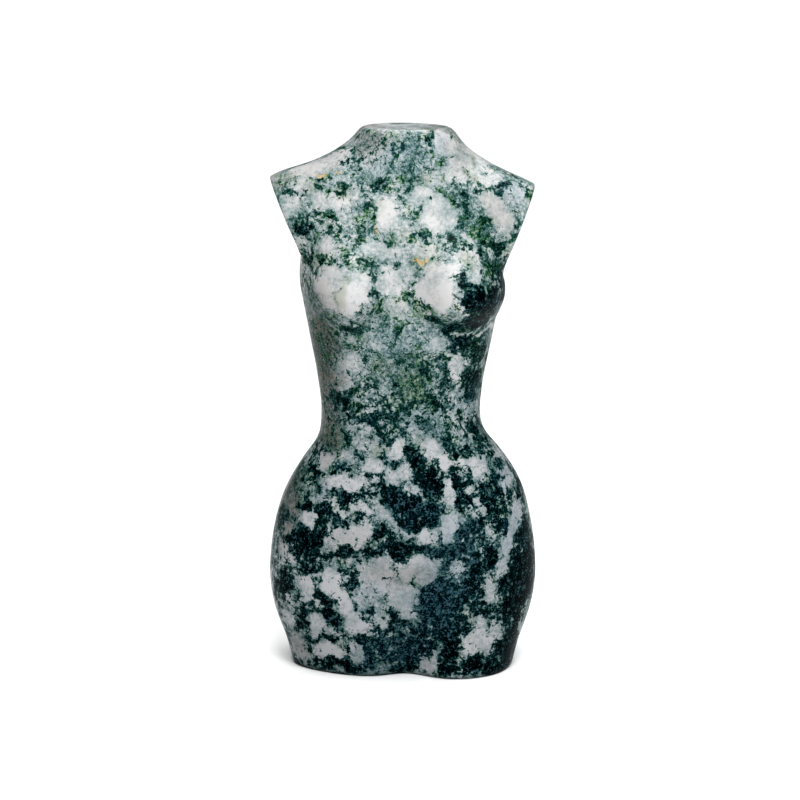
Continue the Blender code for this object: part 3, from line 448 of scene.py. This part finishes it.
share = np.clip(points[:, 2] / HEIGHT, 0, 1)
ground = np.interp(share, *zip(*GROUND))
far = np.clip((1000 * points[:, 1] - BACK_STARTS) / BACK_FADE, 0, 1)
veins = far * np.array([noise.fractal(Vector(p) / VEIN_SIZE, 1.0, 2.0, 3) for p in swirled])
pale_and_highlight = np.maximum(pale_and_highlight, np.clip(3.0 * -veins - 0.3, 0, 1))
# The darkness by height is partly the moss's own deeper colour and partly painted shade low down.
depth = np.interp(share, *zip(*DEPTH_AND_SHADE))
depth = np.clip(depth + 2.5 * np.clip(mossy - 0.95, 0, 0.3), 0, 1)
moss_level = ground + 0.36 * mossy - 0.40 * pale_and_highlight + 0.5 * veins
growth_and_painted_light = np.stack((moss_level, pale_and_highlight, spread(SPECKLED, 1.2), depth))
tints_and_shade = np.stack((spread(BLUISH, 1.2), spread(WARM_AND_SHADE, 1.2), spread(OLIVE, 1.0), spread(OCHRE, 1.0)))
for name, field in (("growth_and_painted_light", growth_and_painted_light), ("tints_and_shade", tints_and_shade)):
    layer = fine.attributes.new(name, "FLOAT_COLOR", "POINT")
    layer.data.foreach_set("color", field.T.astype(np.float32).ravel())
print("moss, mean:", round(float(growth_and_painted_light[0].mean()), 3))

# %% [markdown]
# ## The stone itself
#
# The material reads the map, adds noise of several sizes and cuts the sum at a level, so that the
# moss gets a ragged edge with islands and dust. Everything reads the object's own coordinates, so
# the pattern runs through the stone and over its edges without a seam.

# %% The material, and helpers for its colours and nodes
stone = bpy.data.materials.new("moss_agate_stone")
stone.use_nodes = True
tree = stone.node_tree
shader = tree.nodes["Principled BSDF"]


def tone(red, green, blue):
    """A colour as a paint mixer reads it, 0 to 255, turned into light."""
    shares = [c / 255 for c in (red, green, blue)]
    light = [((s + 0.055) / 1.055) ** 2.4 if s > 0.04 else s / 12.92 for s in shares]
    return (*light, 1.0)


def add(kind, plugs, **settings):
    """Adds a node, sets it up and plugs in its sources or plain values."""
    made = tree.nodes.new(kind)
    for name, value in settings.items():
        setattr(made, name, value)
    for socket, value in plugs.items():
        if isinstance(value, bpy.types.NodeSocket):
            tree.links.new(value, made.inputs[socket])
        else:
            made.inputs[socket].default_value = value
    return made


print("material:", stone.name)


# %% Helpers for sums, soft steps and layers of colour
def calc(operation, a, b=0.0, c=0.0):
    """One sum."""
    return add("ShaderNodeMath", {0: a, 1: b, 2: c}, operation=operation).outputs[0]


def band(value, start, end, low=0.0, high=1.0):
    """A soft step: low below start, high above end."""
    plugs = {"Value": value, "From Min": start, "From Max": end, "To Min": low, "To Max": high}
    return add("ShaderNodeMapRange", plugs, interpolation_type="SMOOTHSTEP").outputs[0]


def lay(under, over, amount, how="MIX"):
    """Lays one colour over another."""
    made = add("ShaderNodeMix", {"Factor": amount}, data_type="RGBA", blend_type=how)
    for socket, colour in ((6, under), (7, over)):
        if isinstance(colour, bpy.types.NodeSocket):
            tree.links.new(colour, made.inputs[socket])
        else:
            made.inputs[socket].default_value = colour
    return made.outputs[2]


print("a mid green is", [round(c, 3) for c in tone(80, 113, 102)])

# %% Helpers for grain and granules
where = add("ShaderNodeTexCoord", {}).outputs["Object"]


def grain(size, detail=4.0, rough=0.6, shift=0.0, at=None):
    """Noise whose largest clumps are about size millimetres across, centred on 0."""
    placed = add("ShaderNodeMapping", {"Vector": at or where, "Location": (shift,) * 3})
    plugs = {"Vector": placed.outputs[0], "Scale": 1000 / size, "Detail": detail, "Roughness": rough}
    return calc("SUBTRACT", add("ShaderNodeTexNoise", plugs).outputs["Fac"], 0.5)


def granules(size, shift=0.0):
    """Round grains about size millimetres across: high in the middle of a grain, centred on 0."""
    placed = add("ShaderNodeMapping", {"Vector": where, "Location": (shift,) * 3})
    packed = add("ShaderNodeTexVoronoi", {"Vector": placed.outputs[0], "Scale": 1000 / size})
    return calc("SUBTRACT", 0.45, packed.outputs["Distance"])


print("nodes so far:", len(tree.nodes))

# %% Read the map
map_node = add("ShaderNodeAttribute", {}, attribute_name="growth_and_painted_light")
map_parts = add("ShaderNodeSeparateColor", {"Color": map_node.outputs["Color"]})
depth_map = map_node.outputs["Alpha"]
tint_and_shade_node = add("ShaderNodeAttribute", {}, attribute_name="tints_and_shade")
tint_and_shade_parts = add("ShaderNodeSeparateColor", {"Color": tint_and_shade_node.outputs["Color"]})
moss_map, pale_and_highlight_map, speckle_map = map_parts.outputs
blue_map, warm_and_shade_map, olive_map = tint_and_shade_parts.outputs
ochre_map = tint_and_shade_node.outputs["Alpha"]
upper = calc("SUBTRACT", 1.0, depth_map)
print("map read from:", map_node.attribute_name, tint_and_shade_node.attribute_name)

# %% [markdown]
# Under a lens the moss is not one thing. There are clumps the size of a lentil, crumbs and grit at
# their edges, short curls like roots, and a loose net of dark seams. Each is a texture of its own
# size, so each gets its own node. The curls are the places where a bent noise crosses zero.

# %% Clumps, crumbs, grit, curls and a net
drift = add("ShaderNodeTexNoise", {"Vector": where, "Scale": 1000 / 1.6, "Detail": 2.0})
plugs = {0: drift.outputs["Color"], 1: (0.0022,) * 3, 2: where}
bent = add("ShaderNodeVectorMath", plugs, operation="MULTIPLY_ADD").outputs[0]
plugs = {"Vector": bent, "Scale": 1000 / 2.3}
seams = add("ShaderNodeTexVoronoi", plugs, feature="DISTANCE_TO_EDGE").outputs["Distance"]
net = band(seams, 0.15, 0.02)
clumps = grain(2.4, detail=6.0, rough=0.62)
crumbs = grain(0.75, detail=3.0, rough=0.75, shift=0.3)
roots = grain(1.2, detail=1.0, rough=0.5, shift=0.7, at=bent)
curls = band(calc("ABSOLUTE", roots), 0.05, 0.015)
gaps = calc("MULTIPLY_ADD", speckle_map, 0.05, grain(0.9, detail=2.0, shift=0.9))
curls = calc("MULTIPLY", curls, band(gaps, 0.03, 0.08))
grit = granules(0.42)
print("nodes so far:", len(tree.nodes))

# %% Add them to the map, and cut the sum into moss and its fringe
clumping = calc("MULTIPLY_ADD", speckle_map, -0.35, 1.85)
moss = calc("MULTIPLY_ADD", clumps, clumping, moss_map)
crumbling = calc("MULTIPLY_ADD", speckle_map, -0.5, calc("MULTIPLY_ADD", pale_and_highlight_map, -0.5, 1.9))
moss = calc("MULTIPLY_ADD", crumbs, crumbling, moss)
moss = calc("MULTIPLY_ADD", grit, 0.35, moss)
moss = calc("MULTIPLY_ADD", net, 0.20, moss)
moss = calc("MULTIPLY_ADD", curls, calc("MULTIPLY_ADD", speckle_map, 0.20, 0.20), moss)
moss = calc("MULTIPLY_ADD", speckle_map, -0.12, moss)
core = band(moss, 0.52, 0.60)
fringe = band(moss, 0.34, 0.52)
print("nodes so far:", len(tree.nodes))

# %% [markdown]
# ## The pale stone
#
# The quartz between the moss is cloudy: white where it is thick and clean, grey-blue or sage where
# green dust hangs in it. A colour ramp turns a cloudy noise into those shades, and four tints from
# the map are laid over it by multiplying, as a thin glaze would darken it. The blue and olive tints
# are the stone's own colour; the darkening low down is partly its own colour and partly painted
# shade, and the warm grey-brown down the left side is mostly painted shade.

# %% White, grey-blue and sage
cloud = grain(5.0, detail=5.0, rough=0.65, shift=0.5)
salt = grain(0.5, detail=3.0, rough=0.75, shift=0.1)
whiteness = calc("MULTIPLY_ADD", cloud, 1.9, 0.50)
whiteness = calc("MULTIPLY_ADD", pale_and_highlight_map, 0.38, whiteness)
whiteness = calc("MULTIPLY_ADD", speckle_map, -0.03, whiteness)
whiteness = calc("MULTIPLY_ADD", salt, calc("MULTIPLY_ADD", pale_and_highlight_map, -1.0, 2.2), whiteness)
SHADES = (
    (0.0, (54, 78, 77)),
    (0.25, (107, 129, 128)),
    (0.5, (151, 161, 160)),
    (0.82, (184, 185, 184)),
    (1.0, (200, 198, 197)),
)
ramp = add("ShaderNodeValToRGB", {"Fac": whiteness})
stops = ramp.color_ramp.elements
stops.remove(stops[-1])
for spot, colour in SHADES:
    stop = stops.new(spot) if spot else stops[0]
    stop.color = tone(*colour)
# Multiplying the pale stone darker low down is partly its own colour and partly painted shade.
pale_stone_with_shade = lay(ramp.outputs[0], tone(214, 217, 221), depth_map, "MULTIPLY")
# The warm grey-brown laid over here is mostly painted shade down the left side.
pale_stone_with_shade = lay(pale_stone_with_shade, tone(160, 153, 144), calc("MULTIPLY", warm_and_shade_map, 0.9), "MULTIPLY")
pale_stone_with_shade = lay(pale_stone_with_shade, tone(170, 200, 214), calc("MULTIPLY", blue_map, 0.45), "MULTIPLY")
pale_stone_with_shade = lay(pale_stone_with_shade, tone(160, 178, 130), calc("MULTIPLY", olive_map, 0.4), "MULTIPLY")
print("shades:", len(stops))

# %% [markdown]
# ## The colours of the moss
#
# The moss goes from sage at its edge through green to nearly black inside a thick clump, and it is
# bluer and darker low down on the figure; part of that darkening is painted shade. A few leafy spots
# are a fresh olive. Fine strokes, pale flecks and dark pits come last, because they lie on top of
# everything else in the real stone. The pale flecks are also painted glints, and the dark in the
# pits is painted shade.

# %% Fringe, moss and its black heart
leafy = calc("MAXIMUM", olive_map, band(grain(2.2, detail=3.0, shift=1.3), 0.02, 0.10))
green = lay(tone(82, 111, 104), tone(106, 138, 82), leafy)
# The moss colours darken low down as well, partly in their own colour and partly as painted shade.
green = lay(green, tone(44, 78, 78), calc("MULTIPLY", depth_map, 0.7))
dark = lay(tone(50, 84, 80), tone(42, 86, 48), calc("MULTIPLY", leafy, 0.75))
dark = lay(dark, tone(12, 46, 47), depth_map)
dark = lay(dark, tone(16, 50, 64), calc("MULTIPLY", blue_map, 0.6))
black = lay(tone(12, 42, 36), tone(1, 10, 11), depth_map)
colour = lay(pale_stone_with_shade, green, calc("MULTIPLY", fringe, 0.8))
colour = lay(colour, dark, core)
heart = calc("MULTIPLY", band(moss, 0.64, 0.95), calc("MULTIPLY_ADD", blue_map, -0.25, 0.95))
colour = lay(colour, black, heart)
print("nodes so far:", len(tree.nodes))

# %% Ochre spots, strokes, flecks with painted glints, frost, and pits with painted shade
ochre = band(calc("MULTIPLY_ADD", salt, 3.0, ochre_map), 0.5, 1.0)
colour = lay(colour, tone(190, 160, 105), calc("MULTIPLY", ochre, 0.6))
strokes = calc("MULTIPLY", curls, calc("MULTIPLY_ADD", pale_and_highlight_map, -0.8, 0.9))
colour = lay(colour, lay(tone(52, 92, 64), tone(10, 40, 38), depth_map), strokes)
# Pale flecks: real specks in the quartz, and also painted glints of the polish.
flecks_and_glints = band(granules(0.30, shift=0.8), 0.06, 0.24)
sand = grain(0.9, detail=2.0, shift=0.6)
dust = grain(0.32, detail=2.0, rough=0.7, shift=1.7)
pale_flecks_and_glints = calc("MULTIPLY", flecks_and_glints, band(sand, -0.04, 0.08))
pale_flecks_and_glints = calc("MULTIPLY", pale_flecks_and_glints, band(moss, 0.62, 0.42))
pale_flecks_and_glints = calc("MULTIPLY", pale_flecks_and_glints, calc("MULTIPLY_ADD", upper, 0.4, 0.4))
colour = lay(colour, tone(160, 178, 176), pale_flecks_and_glints)
frost = calc("MULTIPLY_ADD", dust, 1.2, calc("MULTIPLY", sand, 0.6))
frost = band(calc("MULTIPLY_ADD", blue_map, 0.09, frost), 0.06, 0.20)
in_moss = calc("MULTIPLY", calc("MULTIPLY", frost, core), 0.7)
colour = lay(colour, lay(tone(100, 138, 122), tone(76, 103, 112), depth_map), in_moss)
# Pinholes: the near-black laid in them is painted shade; the bump below also dents them.
pits_and_shade = calc("MULTIPLY", band(granules(1.5, shift=2.1), 0.31, 0.37), band(moss, 0.30, 0.50))
colour = lay(colour, tone(8, 20, 16), calc("MULTIPLY", pits_and_shade, 0.85))
tree.links.new(colour, shader.inputs["Base Color"])
print("nodes so far:", len(tree.nodes))

# %% [markdown]
# ## The polish
#
# Quartz and the green mineral are not equally hard. Polishing leaves the pale stone glassy and the
# moss a little duller, with a few pinholes along its edges and a faint ripple that you see only
# where a lamp is mirrored. Roughness follows the moss, and a bump node carries pits and ripple.

# %% Roughness and bump
dullness = band(moss, 0.40, 0.80, 0.26, 0.42)
tree.links.new(dullness, shader.inputs["Roughness"])
ripple = grain(1.6, detail=4.0, rough=0.6, shift=3.3)
relief = calc("MULTIPLY_ADD", pits_and_shade, -1.5, ripple)
bump = add("ShaderNodeBump", {"Strength": 0.35, "Distance": 0.0001, "Height": relief})
tree.links.new(bump.outputs[0], shader.inputs["Normal"])
shader.inputs["Specular IOR Level"].default_value = 0.08
fine.materials.clear()
fine.materials.append(stone)
print("nodes in the stone:", len(tree.nodes))

# %% [markdown]
# ## Into the frame
#
# The frame has one body, because nothing on a carved stone moves. The dressed figure rides on it
# and stands for the plain solid, which stays in the simulator for contact.

# %% Tie the figure to the frame
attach(figure, "root")
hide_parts("torso")
print("faces of the figure:", len(fine.polygons))

# %% [markdown]
# ## The studio
#
# Small stones are photographed on white paper. A big flat sheet does for the paper: it is far wider
# than the view, so that no edge shows, and matt, so that it mirrors nothing.

# %% Lay the paper
PAPER_HALF = 6.0
PAPER_WHITE = 0.9

floor_mesh = bpy.data.meshes.new("floor")
bm = bmesh.new()
bmesh.ops.create_grid(bm, x_segments=1, y_segments=1, size=PAPER_HALF)
bm.to_mesh(floor_mesh)
bm.free()
floor = bpy.data.objects.new("floor", floor_mesh)
bpy.context.scene.collection.objects.link(floor)
paper = bpy.data.materials.new("pale_paper")
paper.use_nodes = True
matt = paper.node_tree.nodes["Principled BSDF"]
matt.inputs["Base Color"].default_value = (PAPER_WHITE,) * 3 + (1.0,)
matt.inputs["Roughness"].default_value = 0.9
floor_mesh.materials.append(paper)
print("paper, m:", [round(c, 1) for c in floor.dimensions])

# %% [markdown]
# The light in the photograph comes from above, and a little from the front, through something wide:
# the shoulders and the neck are bright, the underside of the breasts and the foot fall off softly.
# Very soft sun lamps stand for the white ceiling and walls, and one square box for the main lamp.

# %% Hang the soft lamps and the box
def sky_lamp(name, bearing, height, softness, strength):
    """A far, soft lamp: bearing 0 shines from the front, 90 from the viewer's right."""
    lamp = bpy.data.lights.new(name, "SUN")
    lamp.energy = strength
    lamp.angle = math.radians(softness)
    holder = bpy.data.objects.new(name, lamp)
    bpy.context.scene.collection.objects.link(holder)
    bearing, height = math.radians(bearing), math.radians(height)
    flat = math.cos(height)
    toward = Vector((math.sin(bearing) * flat, -math.cos(bearing) * flat, math.sin(height)))
    holder.rotation_euler = toward.to_track_quat("Z", "Y").to_euler()


def softbox(name, place, aim, width, height, watts):
    """A square lamp that looks at a point."""
    lamp = bpy.data.lights.new(name, "AREA")
    lamp.shape = "RECTANGLE"
    lamp.size = width
    lamp.size_y = height
    lamp.energy = watts
    holder = bpy.data.objects.new(name, lamp)
    bpy.context.scene.collection.objects.link(holder)
    holder.location = place
    holder.rotation_euler = (Vector(aim) - Vector(place)).to_track_quat("-Z", "Y").to_euler()


sky_lamp("top", 170, 74, 70, 1.88)
sky_lamp("back", 180, 35, 30, 0.35)
sky_lamp("front", 0, 50, 60, 0.35)
softbox("key", (0.03, -0.16, 0.205), (0, 0, 0.062), 0.13, 0.11, 0.38)
print("lamps:", len(bpy.data.lights))

# %% [markdown]
# The last touches belong to the camera's film, not to the stone. A dim white world keeps the deepest
# shadows open, a contrast curve gives the photograph's snap, and a slight black point takes off the
# thin white veil that white paper throws over dark stone.

# %% Set the world and the film
WORLD_STRENGTH = 0.10
BLACK_POINT = 0.008

world = bpy.data.worlds.new("studio")
world.use_nodes = True
air = world.node_tree.nodes["Background"]
air.inputs["Color"].default_value = (1, 1, 1, 1)
air.inputs["Strength"].default_value = WORLD_STRENGTH
bpy.context.scene.world = world
film = bpy.context.scene.view_settings
film.view_transform = "Standard"
film.look = "High Contrast"
film.use_curve_mapping = True
film.curve_mapping.black_level = (BLACK_POINT,) * 3
film.curve_mapping.update()
print("film:", film.view_transform, film.look)
